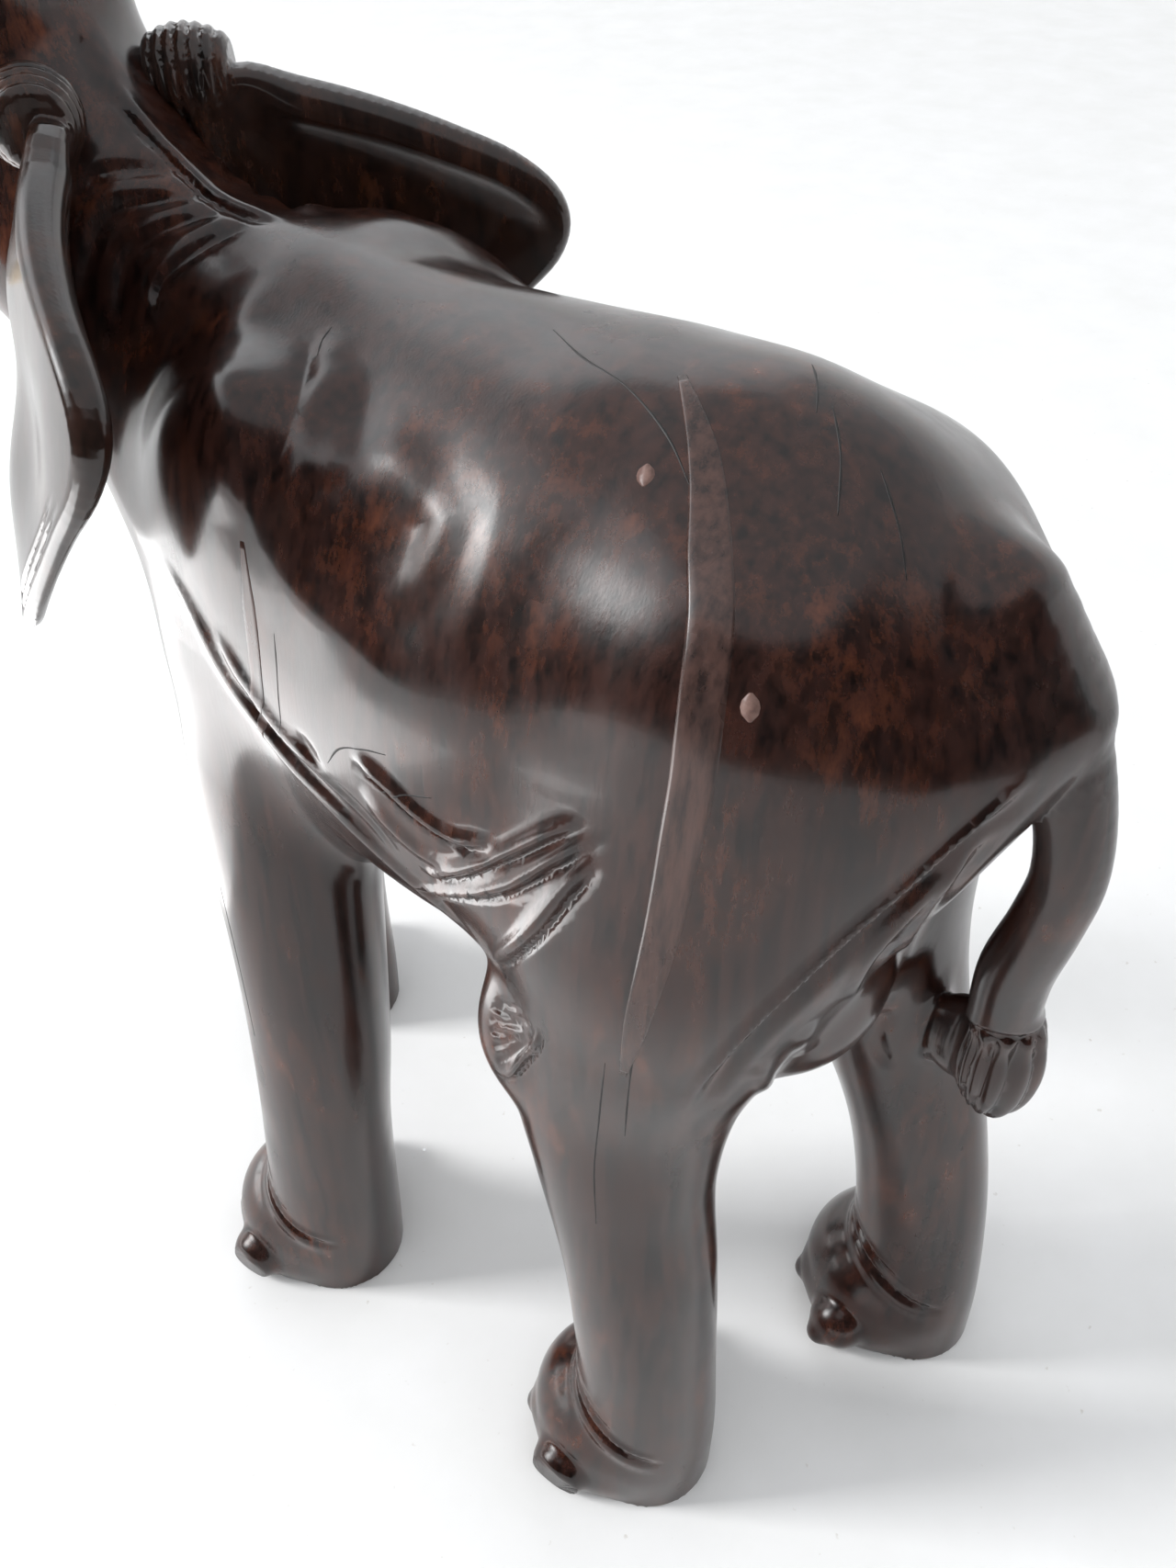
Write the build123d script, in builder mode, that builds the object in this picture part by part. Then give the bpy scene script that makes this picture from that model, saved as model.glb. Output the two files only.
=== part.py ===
"""Carved wooden elephant, striding with its trunk raised.

One block of dark hardwood carries the torso, legs, head, trunk and tail.
The two ears are fitted with round tenons, the two tusks sit in sockets,
and the drying checks in the block are closed with let-in strips and plugs.

Frame: +Z up, soles on Z = 0, the elephant faces -Y, its left side is +X.
Lengths are millimetres.
"""
from build123d import *
import os

os.makedirs("parts", exist_ok=True)

# ---- driving dimensions -------------------------------------------------
toe_reach = 54.0            # toe knobs ahead of the middle of the leg
toe_radius = 9.5            # carved toe knobs
eye_x, eye_y, eye_z = 57.0, -186.0, 646.0
eye_radius = 7.0
ear_thickness = 13.0
ear_edge_radius = 3.0
ear_swing = 38.0            # degrees the ear turns outward from straight back
ear_splay = 15.0            # degrees the ear's lower edge swings outward
ear_dish_radius = 230.0     # hollow of the ear's back face
collar_x, collar_y, collar_z = 39.0, -87.0, 632.0   # middle of the ear's fluted collar
collar_radius = 18.5
collar_length = 34.0
ring_count = 7
tenon_radius = 8.0
tenon_length = 24.0
seat_x, seat_z = 37.0, 608.0         # middle of the flat seat the ear is glued to
seat_length, seat_height = 48.0, 84.0
strip_width = 15.0          # let-in strip on the flank, at its widest
sliver_width = 9.0          # let-in sliver on the shoulder
plug_radius = 4.0
plug_depth = 6.0

# Torso, neck and head: cross-sections from rump to brow.
# (station along Y, half width, top Z, underside Z)
torso_stations = [
    (328, 12, 512, 484),
    (318, 33, 521, 464),
    (300, 56, 541, 422),
    (280, 72, 560, 378),
    (255, 86, 577, 342),
    (215, 98, 588, 328),
    (165, 106, 590, 319),
    (115, 106, 588, 319),
    (65, 101, 588, 328),
    (15, 90, 593, 348),
    (-30, 76, 601, 376),
    (-65, 62, 617, 424),
    (-95, 54, 646, 482),
    (-127, 60, 688, 522),
    (-162, 68, 714, 542),
    (-196, 61, 706, 550),
    (-220, 43, 684, 564),
    (-232, 18, 654, 594),
]

lip_stations = [(-170, 30, 580, 540), (-205, 25, 562, 534), (-232, 17, 550, 532), (-242, 8, 545, 535)]

# Legs: (Z, centre X, centre Y, half width, half length)
hind_left_leg = [
    (470, 44, 215, 50, 62), (420, 54, 211, 59, 67), (360, 58, 203, 54, 61),
    (300, 64, 193, 45, 51), (240, 71, 199, 38.5, 42), (180, 75, 210, 36, 37),
    (100, 78, 218, 35.5, 36), (58, 79, 217, 38, 42), (26, 79, 212, 41, 49), (0, 79, 213, 40, 47),
]
hind_right_leg = [
    (470, -44, 243, 50, 56), (420, -53, 240, 57, 56), (360, -58, 243, 50, 48),
    (300, -66, 250, 43, 44), (240, -73, 266, 38, 40), (180, -78, 286, 36, 36.5),
    (100, -79, 302, 35.5, 36), (58, -78, 305, 38, 42), (26, -78, 301, 41, 49), (0, -77, 302, 40, 47),
]
fore_left_leg = [
    (455, 36, 4, 34, 44), (400, 50, 1, 42, 46), (340, 62, 6, 39, 41),
    (280, 68, 9, 37, 38), (200, 72, 8, 36, 36.5), (120, 75, 2, 35.5, 36),
    (58, 77, -5, 38, 42), (26, 77, -11, 41, 49), (0, 77, -11, 40, 47),
]
fore_right_leg = [
    (455, -34, -18, 32, 42), (400, -50, -54, 42, 48), (340, -63, -84, 40, 43),
    (280, -70, -104, 37.5, 39), (200, -74, -122, 36, 36.5), (120, -76, -130, 35.5, 36),
    (58, -76, -134, 38, 42), (26, -76, -140, 41, 49), (0, -76, -140, 40, 47),
]

# Trunk and tail: (X, Y, Z, direction Y, direction Z, radius), root to tip
trunk_line = [
    (0, -185, 620, -1.0, -0.75, 46), (0, -222, 592, -1.0, -0.6, 37),
    (0, -260, 577, -1.0, -0.1, 29), (0, -294, 584, -1.0, 0.65, 25.5),
    (0, -317, 612, -0.5, 1.0, 23.5), (0, -326, 650, 0.0, 1.0, 22),
    (0, -320, 692, 0.35, 1.0, 20), (0, -300, 732, 0.6, 1.0, 18),
    (0, -275, 766, 0.55, 1.0, 16), (0, -262, 796, 0.15, 1.0, 15),
]
tail_line = [
    (0, 284, 532, 1.0, -0.9, 24), (-2, 308, 503, 0.6, -1.0, 19),
    (-6, 324, 468, 0.25, -1.0, 15), (-11, 330, 432, 0.0, -1.0, 14),
    (-17, 327, 398, -0.1, -1.0, 14.5), (-25, 321, 360, -0.1, -1.0, 15), (-30, 320, 336, 0.0, -1.0, 15),
]
tuft_line = [
    (-31, 321, 338, 0.0, -1.0, 15), (-35, 324, 318, 0.0, -1.0, 16.5),
    (-37, 325, 290, 0.0, -1.0, 14.5), (-38, 325, 264, 0.0, -1.0, 5),
]
tusk_line = [
    (30, -186, 577, -1.0, -0.45, 8.5), (37, -218, 562, -1.0, -0.35, 8.5),
    (43, -250, 554, -1.0, 0.0, 7.5), (47, -281, 557, -1.0, 0.35, 5.5),
    (48, -306, 570, -0.8, 0.8, 2.5),
]

# Ear outline in the ear's own plane: (outward, downward from the collar)
ear_outline = [
    (-2, 12), (18, -5), (44, 3), (77, 14), (106, 24), (130, 33), (147, 45), (153, 60),
    (148, 80), (133, 102), (116, 126), (98, 150), (82, 167), (68, 171), (56, 158),
    (47, 132), (36, 102), (20, 70), (4, 40),
]

# Let-in pieces, seen from the side: (Y, Z) of the centre line, and the width there
flank_line = [
    (184, 592, 0.2), (206, 572, 0.6), (224, 545, 0.9), (232, 510, 1.0),
    (231, 475, 0.95), (229, 435, 0.75), (224, 400, 0.5), (218, 372, 0.15),
]
shoulder_line = [(42, 516, 0.2), (42, 496, 0.8), (40, 474, 1.0), (37, 452, 0.8), (34, 434, 0.2)]
# Floor of each pocket, seen from the front: (X, Z)
flank_floor = [(0, 566), (42, 556), (72, 528), (90, 486), (90, 440), (86, 400), (82, 360)]
shoulder_floor = [(66, 530), (78, 500), (82, 470), (82, 440), (78, 420)]


def round_sections(line):
    """Circular sections square to a centre line."""
    sections = []
    for x, y, z, dir_y, dir_z, radius in line:
        with BuildSketch(Plane(origin=(x, y, z), x_dir=(1, 0, 0), z_dir=(0, dir_y, dir_z))) as section:
            Circle(radius)
        sections.append(section.sketch)
    return sections


def leg_sections(leg):
    """Level elliptical sections of one leg."""
    sections = []
    for z, x, y, half_width, half_length in leg:
        with BuildSketch(Plane.XY.offset(z)) as section:
            with Locations((x, y)):
                Ellipse(half_width, half_length)
        sections.append(section.sketch)
    return sections


def upright_sections(stations):
    """Upright elliptical sections: (station along Y, half width, top Z, underside Z)."""
    sections = []
    for y, half_width, top, underside in stations:
        middle = (top + underside) / 2
        with BuildSketch(Plane(origin=(0, y, middle), x_dir=(1, 0, 0), z_dir=(0, -1, 0))) as section:
            Ellipse(half_width, top - middle)
        sections.append(section.sketch)
    return sections


def toe_knobs(leg_x, leg_y):
    """Centres of the four carved toe knobs across the front of one foot, round the middle of the leg."""
    reach = Vector(0, -toe_reach, toe_radius + 1.0)
    return [Vector(leg_x, leg_y, 0) + reach.rotate(Axis.Z, angle) for angle in (-56, -18, 20, 58)]


def band_outline(line, width):
    """Outline, seen from the side, of a let-in strip that narrows to both ends."""
    front = [(y - width * share / 2, z) for y, z, share in line]
    rear = [(y + width * share / 2, z) for y, z, share in line]
    with BuildSketch(Plane.YZ) as outline:
        with BuildLine():
            Spline(*front)
            Line(front[-1], rear[-1])
            Spline(*rear[::-1])
            Line(rear[0], front[0])
        make_face()
    return outline.sketch


def pocket_profile(floor_line, outer_x, y):
    """Profile, seen from the front, of a pocket: curved floor, open outward."""
    head, foot = floor_line[0][1] + 40, floor_line[-1][1]
    with BuildSketch(Plane(origin=(0, y, 0), x_dir=(1, 0, 0), z_dir=(0, -1, 0))) as profile:
        with BuildLine():
            Spline(*floor_line)
            Polyline(floor_line[-1], (outer_x, foot), (outer_x, head), (floor_line[0][0], head), floor_line[0])
        make_face()
    return profile.sketch


# ---- the block ----------------------------------------------------------
with BuildPart() as torso:
    loft(upright_sections(torso_stations))

with BuildPart() as legs:
    loft(leg_sections(hind_left_leg))
    loft(leg_sections(hind_right_leg))
    loft(leg_sections(fore_left_leg))
    loft(leg_sections(fore_right_leg))
    with Locations(toe_knobs(79, 222), toe_knobs(-77, 311), toe_knobs(77, -2), toe_knobs(-76, -131)):
        Sphere(toe_radius)

with BuildPart() as trunk:
    loft(round_sections(trunk_line))

with BuildPart() as tail:
    loft(round_sections(tail_line))
    loft(round_sections(tuft_line))
    # web of wood left between the tuft and the right hind leg
    with Locations((-46, 306, 296)):
        Box(12, 36, 44)

with BuildPart() as lower_lip:
    loft(upright_sections(lip_stations))

with BuildPart() as eyes:
    with Locations((eye_x, eye_y, eye_z), (-eye_x, eye_y, eye_z)):
        Sphere(eye_radius)

with BuildPart() as block:
    add(torso.part)
    add(legs.part)
    add(trunk.part)
    add(tail.part)
    add(lower_lip.part)
    add(eyes.part)

# ---- let-in strips and plugs --------------------------------------------
with BuildPart() as flank_strip:
    extrude(band_outline(flank_line, strip_width), amount=160)
    extrude(pocket_profile(flank_floor, 160, 120), amount=-200, mode=Mode.INTERSECT)
    add(block.part, mode=Mode.INTERSECT)

with BuildPart() as shoulder_strip:
    extrude(band_outline(shoulder_line, sliver_width), amount=160)
    extrude(pocket_profile(shoulder_floor, 160, -20), amount=-120, mode=Mode.INTERSECT)
    add(block.part, mode=Mode.INTERSECT)

with BuildPart() as flank_plug:
    with BuildSketch(Plane(origin=(61, 192, 553), x_dir=(0, 1, 0), z_dir=(0.73, 0.0, 0.68))):
        Ellipse(plug_radius, plug_radius * 1.4)
    extrude(amount=20)
    add(block.part, mode=Mode.INTERSECT)

with BuildPart() as hip_plug:
    with BuildSketch(Plane(origin=(74, 243, 521), x_dir=(0, 1, 0), z_dir=(0.8, 0.1, 0.6))):
        Ellipse(plug_radius, plug_radius * 1.2)
    extrude(amount=20)
    add(block.part, mode=Mode.INTERSECT)

# ---- tusks ---------------------------------------------------------------
with BuildPart() as left_tusk:
    loft(round_sections(tusk_line))

with BuildPart() as right_tusk:
    mirror(left_tusk.part, about=Plane.YZ)

# ---- ears ----------------------------------------------------------------
# In the ear's plane x runs outward along the rim, y runs down, z points to the rear.
ear_across = Vector(0, 1, 0).rotate(Axis.Z, -ear_swing)
ear_rear = Vector(-1, 0, 0).rotate(Axis.Z, -ear_swing).rotate(Axis((0, 0, 0), ear_across), -ear_splay)
ear_plane = Plane(origin=(collar_x, collar_y, collar_z), x_dir=ear_across, z_dir=ear_rear)
dish_plane = Plane(origin=ear_plane.origin - ear_plane.y_dir * 40, x_dir=ear_across, z_dir=ear_plane.y_dir)
seat_plane = Plane(origin=(seat_x, collar_y, seat_z), x_dir=(0, 1, 0), z_dir=(0.88, 0, 0.475))
seat_back = Plane(origin=seat_plane.origin, x_dir=(0, 1, 0), z_dir=-seat_plane.z_dir)

# Fluted collar: rounded rings side by side over the top of the ear's root
ring_edges = [(-collar_length / 2 + collar_length * i / ring_count) for i in range(ring_count + 1)]
ring_radii = [collar_radius - 5.5 * (2 * x / collar_length) ** 2 for x in ring_edges]
with BuildPart() as collar:
    with BuildSketch(ear_plane):
        with BuildLine():
            for i in range(ring_count):
                crest = ((ring_edges[i] + ring_edges[i + 1]) / 2, (ring_radii[i] + ring_radii[i + 1]) / 2 + 1.6)
                ThreePointArc((ring_edges[i], ring_radii[i]), crest, (ring_edges[i + 1], ring_radii[i + 1]))
            Polyline((ring_edges[-1], ring_radii[-1]), (ring_edges[-1], 0), (ring_edges[0], 0),
                     (ring_edges[0], ring_radii[0]))
        make_face()
    revolve(axis=Axis(ear_plane.origin, ear_across))

with BuildPart() as left_ear:
    with BuildSketch(ear_plane):
        with BuildLine():
            Spline(*ear_outline[:9])
            Spline(*ear_outline[8:], ear_outline[0])
        make_face()
    extrude(amount=60, both=True)
    # the blade is a dished sheet, its far edge curling to the rear
    with BuildSketch(dish_plane):
        with Locations((70, -ear_dish_radius)):
            Circle(ear_dish_radius + ear_thickness / 2)
            Circle(ear_dish_radius - ear_thickness / 2, mode=Mode.SUBTRACT)
    extrude(amount=260, mode=Mode.INTERSECT)
    fillet(left_ear.edges(), radius=ear_edge_radius)
    add(collar.part)
    split(bisect_by=seat_plane, keep=Keep.TOP)
    with BuildSketch(seat_back):
        Circle(tenon_radius)
    extrude(amount=tenon_length)

with BuildPart() as right_ear:
    mirror(left_ear.part, about=Plane.YZ)

# Flat seats and round mortises for the ears
with BuildPart() as left_seat:
    with BuildSketch(seat_plane):
        Rectangle(seat_length, seat_height)
    extrude(amount=40)
    with BuildSketch(seat_back):
        Circle(tenon_radius)
    extrude(amount=tenon_length)

with BuildPart() as right_seat:
    mirror(left_seat.part, about=Plane.YZ)

# ---- the finished body: the block with its sockets and pockets cut -------
with BuildPart() as body:
    add(block.part)
    add([left_seat.part, right_seat.part], mode=Mode.SUBTRACT)
    add([left_tusk.part, right_tusk.part], mode=Mode.SUBTRACT)
    add([flank_strip.part, shoulder_strip.part, flank_plug.part, hip_plug.part], mode=Mode.SUBTRACT)

body.part.label = "body"
left_ear.part.label = "left_ear"
right_ear.part.label = "right_ear"
left_tusk.part.label = "left_tusk"
right_tusk.part.label = "right_tusk"
flank_strip.part.label = "flank_strip"
shoulder_strip.part.label = "shoulder_strip"
flank_plug.part.label = "flank_plug"
hip_plug.part.label = "hip_plug"

export_step(body.part, "parts/body.step")
export_step(left_ear.part, "parts/left_ear.step")
export_step(right_ear.part, "parts/right_ear.step")
export_step(left_tusk.part, "parts/left_tusk.step")
export_step(right_tusk.part, "parts/right_tusk.step")
export_step(flank_strip.part, "parts/flank_strip.step")
export_step(shoulder_strip.part, "parts/shoulder_strip.step")
export_step(flank_plug.part, "parts/flank_plug.step")
export_step(hip_plug.part, "parts/hip_plug.step")
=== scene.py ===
"""Carved wooden elephant: sculpted wood, let-in strips, floor, light and camera.

Shapes are written in millimetres as distance fields in the CAD frame, then meshed in metres.
"""
import math
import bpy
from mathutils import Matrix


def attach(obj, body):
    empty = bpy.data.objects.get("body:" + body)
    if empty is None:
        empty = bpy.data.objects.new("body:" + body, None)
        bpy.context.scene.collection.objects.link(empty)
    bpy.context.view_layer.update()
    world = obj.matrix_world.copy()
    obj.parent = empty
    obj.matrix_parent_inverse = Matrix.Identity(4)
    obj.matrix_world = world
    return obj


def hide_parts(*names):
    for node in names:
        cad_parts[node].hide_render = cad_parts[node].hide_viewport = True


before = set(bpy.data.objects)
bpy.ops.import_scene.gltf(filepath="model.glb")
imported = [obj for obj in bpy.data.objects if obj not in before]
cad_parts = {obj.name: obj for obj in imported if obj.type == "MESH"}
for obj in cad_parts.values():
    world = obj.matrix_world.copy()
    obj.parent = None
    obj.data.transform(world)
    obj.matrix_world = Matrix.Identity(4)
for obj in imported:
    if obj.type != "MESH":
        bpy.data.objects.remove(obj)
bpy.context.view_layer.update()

from concurrent.futures import ThreadPoolExecutor

import bpy
import numpy as np
import openvdb
from mathutils import Matrix, Vector

MM = 0.001
FINE = 2.1        # mm between samples on the body
FINE_EAR = 1.6
COARSE = 4                               # fine cells to one coarse cell
TRIANGLES = 190_000                      # most triangles in one piece
FAR = 1e9

# ---- main forms, in mm ----------------------------------------------------
# Torso, neck and head: (station along Y, half width, top Z, underside Z, roundness of the top)
TORSO = [
    (328, 12, 512, 486, 2), (318, 31, 520, 466, 2), (300, 54, 538, 424, 2), (280, 68, 556, 382, 2),
    (255, 82, 576, 348, 2), (215, 95, 590, 328, 2), (165, 105, 592, 318, 2), (115, 107, 590, 317, 2),
    (65, 102, 591, 325, 1.9), (15, 92, 597, 346, 1.75), (-30, 78, 604, 376, 1.6), (-65, 64, 620, 424, 1.55),
    (-95, 56, 648, 482, 1.7), (-127, 60, 688, 522, 1.95), (-162, 68, 714, 542, 2), (-196, 61, 706, 550, 2),
    (-220, 43, 684, 564, 2), (-233, 18, 654, 594, 2),
]
# Legs: (Z, centre X, centre Y, half width, half length)
HIND_LEFT = [
    (480, 42, 216, 50, 60), (420, 55, 211, 60, 68), (360, 58, 203, 55, 62), (300, 63, 192, 46, 53),
    (250, 70, 197, 39, 43), (180, 75, 210, 36, 37), (100, 78, 218, 35.5, 36), (30, 79, 221, 36.5, 37),
    (0, 79, 222, 36, 36),
]
HIND_RIGHT = [
    (480, -42, 243, 50, 56), (420, -54, 240, 58, 55), (360, -58, 242, 51, 48), (300, -66, 249, 44, 44),
    (250, -72, 263, 38.5, 40), (180, -78, 286, 36, 36.5), (100, -79, 302, 35.5, 36),
    (30, -78, 309, 36.5, 37), (0, -77, 311, 36, 36),
]
FORE_LEFT = [
    (460, 42, 2, 42, 48), (400, 52, 2, 42, 46), (340, 62, 7, 39, 41), (280, 68, 10, 37, 38),
    (200, 72, 9, 36, 36.5), (120, 75, 3, 35.5, 36), (35, 77, -1, 36.5, 37), (0, 77, -2, 36, 36),
]
FORE_RIGHT = [
    (460, -42, -24, 42, 48), (400, -52, -56, 42, 48), (340, -63, -84, 40, 43), (280, -70, -104, 37.5, 39),
    (200, -74, -122, 36, 36.5), (120, -76, -130, 35.5, 36), (35, -76, -131, 36.5, 37),
    (0, -76, -131, 36, 36),
]
FEET = [(79, 222), (-77, 311), (77, -2), (-76, -131)]        # centres of the four soles
TOE_ANGLES = (-58, -20, 18, 56)                               # degrees from straight ahead
TOE_BALLS = ((49, 18, 17, 4), (61.5, 12, 7.5, 3))             # reach from the leg, height, radius, blend
ANKLE_FRONT, ANKLE_DROP = 79, 16     # height of the crease in front, and how far it drops by the sides
# Round runs: (X, Y, Z, radius)
TRUNK = [
    (0, -185, 622, 46), (0, -222, 592, 38), (0, -260, 577, 30), (0, -294, 584, 26), (0, -317, 612, 24),
    (0, -326, 650, 22), (0, -319, 692, 20), (0, -300, 732, 18), (0, -276, 766, 16), (0, -262, 784, 15),
]
TAIL = [
    (0, 284, 530, 26), (-2, 308, 503, 19), (-6, 324, 468, 14.5), (-11, 330, 432, 13.5), (-17, 327, 398, 14),
    (-25, 321, 360, 15), (-31, 320, 328, 15),
]
LOWER_LIP = [(0, -165, 566, 26), (0, -200, 552, 18), (0, -228, 544, 11), (0, -243, 543, 6)]
TUSK = [
    (29, -180, 580, 8.5), (37, -218, 562, 8.5), (43, -250, 554, 7.5), (47, -281, 557, 5.8),
    (48, -304, 569, 3),
]
SOCKET = [(26, -172, 584, 15), (34, -205, 567, 13.5), (37, -216, 563, 12.5)]
EYE = (57, -186, 646)
EYELID_RADIUS = 7
RING_SPACING = 9.0
MOUTH, MOUTH_SHAPE = (0, -236, 560), (1.6, 1.5, 0.75)
KNEES = [(86, 157, 325), (-86, 207, 335)]
KNEE_RADII = (18, 21, 37)
# The flat under the left shoulder blade: normal and distance from the origin
BLADE_FLAT = (0.86, 0.10, 0.50, 350.0)

# ---- ears: across, down and rear directions of the ear's own plane ---------
COLLAR = np.array((39.0, -87.0, 632.0))
EAR_SWING, EAR_SPLAY = math.radians(38), math.radians(15)
ACROSS = np.array((math.sin(EAR_SWING), math.cos(EAR_SWING), 0.0))
DOWN = np.array((math.sin(EAR_SPLAY) * math.cos(EAR_SWING), -math.sin(EAR_SPLAY) * math.sin(EAR_SWING),
                 -math.cos(EAR_SPLAY)))
REAR = np.cross(ACROSS, DOWN)
EAR_OUTLINE = [
    (-2, 12), (18, -5), (44, 3), (77, 14), (106, 24), (130, 33), (147, 45), (153, 60), (148, 80), (133, 102),
    (116, 126), (98, 150), (82, 167), (68, 171), (56, 158), (47, 132), (36, 102), (20, 70), (4, 40),
]
EAR_DISH_RADIUS = 230.0
EAR_DISH_CENTRE = 70.0
EAR_THICKNESS = 12.0
EAR_ROUNDING = 5.0
COLLAR_RADIUS = 17.5
COLLAR_LENGTH = 34.0
COLLAR_RINGS = 7

# ---- carved lines: (kind, height, width, points near the skin) --------------
# A fold is a lip beside a furrow. A ridge stands up and a groove has a height below zero.
SEAM = [
    ("fold", 2.6, 4.5, [(6, -92, 640), (5, -75, 624), (5, -55, 611), (7, -37, 602), (6, -20, 599),
                        (3, -5, 599)]),
    ("groove", -2.8, 4.5, [(2, -99, 655), (5, -93, 646), (8, -86, 637), (12, -78, 629)]),
]
NECK_FOLDS = [
    ("fold", 1.8, 7.5, [(54, -84, 575), (42, -80, 595), (28, -74, 610), (15, -62, 612), (7, -50, 609)]),
    ("fold", 2.2, 7.5, [(58, -70, 565), (46, -68, 585), (32, -66, 600), (20, -54, 603), (8, -36, 603)]),
    ("fold", 1.8, 6.5, [(60, -50, 560), (48, -54, 580), (36, -54, 590), (22, -42, 597), (8, -24, 600)]),
    ("fold", 1.8, 7.0, [(52, -34, 574), (40, -36, 583), (26, -28, 592), (8, -14, 599)]),
]
SHOULDER = [
    ("ridge", 2.6, 13, [(30, -8, 590), (52, 6, 586), (72, 26, 574), (86, 38, 552), (90, 40, 525)]),
    ("fold", 1.1, 9.0, [(40, 38, 588), (56, 50, 580), (72, 56, 568), (82, 56, 552), (88, 52, 534)]),
    ("ridge", 1.2, 8.0, [(47, 55, 582), (60, 68, 573), (72, 74, 562), (82, 70, 548)]),
    ("ridge", 1.8, 9.0, [(56, 70, 572), (66, 100, 562), (74, 119, 552), (79, 122, 546), (90, 118, 530),
                         (95, 106, 518)]),
]
BELLY = [
    ("ridge", 3.0, 4.5, [(86, -12, 498), (90, 6, 485), (95, 22, 464), (98, 38, 448), (100, 58, 432),
                         (101, 82, 420), (99, 108, 402), (92, 128, 380), (82, 150, 356)]),
    ("ridge", 2.6, 4.0, [(94, 20, 482), (98, 38, 464), (101, 56, 450), (103, 74, 443), (104, 96, 430)]),
    ("groove", -2.2, 4.0, [(97, 30, 462), (100, 46, 448), (101, 68, 436), (102, 92, 424), (101, 110, 408)]),
    ("groove", -2.0, 3.5, [(103, 66, 458), (104, 78, 442), (105, 98, 430), (103, 114, 412)]),
    ("fold", 3.0, 5.0, [(106, 96, 458), (107, 112, 453), (107, 130, 444), (107, 148, 441), (107, 168, 450)]),
    ("ridge", 2.4, 4.0, [(106, 100, 448), (106, 114, 434), (105, 130, 426), (106, 150, 432),
                         (107, 172, 449)]),
    ("fold", 2.8, 4.0, [(102, 122, 410), (104, 134, 414), (107, 152, 430), (108, 170, 447), (107, 186, 463),
                        (105, 202, 478)]),
    ("fold", 2.8, 4.0, [(98, 112, 394), (100, 128, 398), (106, 153, 417), (109, 173, 435), (109, 190, 455),
                        (106, 210, 477)]),
    ("fold", 3.0, 4.5, [(96, 156, 374), (107, 168, 394), (112, 184, 420), (110, 198, 448), (107, 208, 466)]),
]
REAR_FOLDS = [
    ("fold", -4.5, 7, [(28, 322, 506), (42, 313, 494), (58, 303, 480), (72, 292, 462), (84, 280, 442),
                       (94, 268, 420), (99, 258, 398), (98, 246, 372), (92, 234, 344)]),
    ("ridge", 3.0, 4.0, [(50, 301, 470), (62, 296, 450), (68, 290, 430), (64, 286, 408), (54, 288, 396)]),
    ("ridge", 2.6, 3.5, [(40, 306, 474), (52, 303, 458), (52, 300, 440), (46, 297, 424), (38, 294, 408)]),
    ("groove", -4.0, 5.0, [(34, 312, 486), (42, 309, 466), (40, 304, 446), (28, 296, 412), (14, 288, 380)]),
    ("groove", -3.0, 4.0, [(60, 290, 440), (56, 288, 418), (46, 284, 396), (34, 278, 372)]),
    ("ridge", 3.0, 4.5, [(72, 266, 400), (62, 264, 374), (48, 258, 352), (34, 252, 338)]),
    ("ridge", 2.6, 4.0, [(82, 254, 378), (70, 250, 352), (56, 244, 330)]),
    ("groove", -2.4, 3.5, [(-26, 276, 300), (-32, 270, 276), (-40, 276, 250)]),
]
KNEE = [
    ("groove", -1.6, 1.7, [(98, 152, 352), (101, 162, 357), (106, 171, 365)]),
    ("groove", -1.6, 1.7, [(99, 150, 348), (102, 164, 353), (108, 176, 363)]),
    ("groove", -1.6, 1.7, [(101, 150, 342), (103, 161, 348), (105, 170, 354)]),
    ("groove", -1.6, 1.7, [(102, 150, 336), (104, 159, 341), (104, 165, 344)]),
    ("groove", -2.0, 1.8, [(104, 152, 328), (105, 161, 338), (104, 167, 346)]),
    ("groove", -2.2, 1.8, [(104, 154, 320), (105, 165, 336), (108, 176, 355)]),
    ("fold", 2.0, 2.4, [(102, 155, 308), (106, 165, 320), (107, 173, 337), (109, 180, 352),
                        (110, 183, 366)]),
]
HEAD = [
    ("groove", -4.0, 10, [(50, -128, 690), (56, -140, 672), (54, -150, 650)]),
    ("ridge", 3.0, 7, [(30, -226, 676), (46, -214, 672), (56, -196, 664), (60, -178, 656)]),
    ("ridge", 1.8, 2.6, [(50, -198, 648), (56, -191, 655), (60, -183, 654), (61, -175, 646)]),
    ("ridge", 1.8, 2.6, [(50, -198, 645), (55, -192, 638), (59, -183, 637), (61, -175, 643)]),
    ("groove", -1.6, 3, [(58, -172, 632), (52, -186, 622), (44, -200, 620)]),
    ("groove", -2.5, 3.5, [(44, -160, 580), (34, -190, 572), (22, -222, 560)]),
]


def mirrored(strokes):
    return [(kind, height, width, [(-x, y, z) for x, y, z in points])
            for kind, height, width, points in strokes]


def shifted(strokes, dx, dy, dz):
    return [(kind, height, width, [(x + dx, y + dy, z + dz) for x, y, z in points])
            for kind, height, width, points in strokes]


# ---- distance field tools ---------------------------------------------------
def smooth_min(a, b, k):
    h = np.maximum(k - np.abs(a - b), 0.0) / k
    return np.minimum(a, b) - h * h * k * 0.25


def smooth_max(a, b, k):
    return -smooth_min(-a, -b, k)


def step(x):
    x = np.clip(x, 0.0, 1.0)
    return x * x * (3 - 2 * x)


def bell(x, width):
    """A soft hump, 1 at the middle and near 0 beyond twice its width."""
    return np.exp(-(x / width) ** 2)


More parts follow.
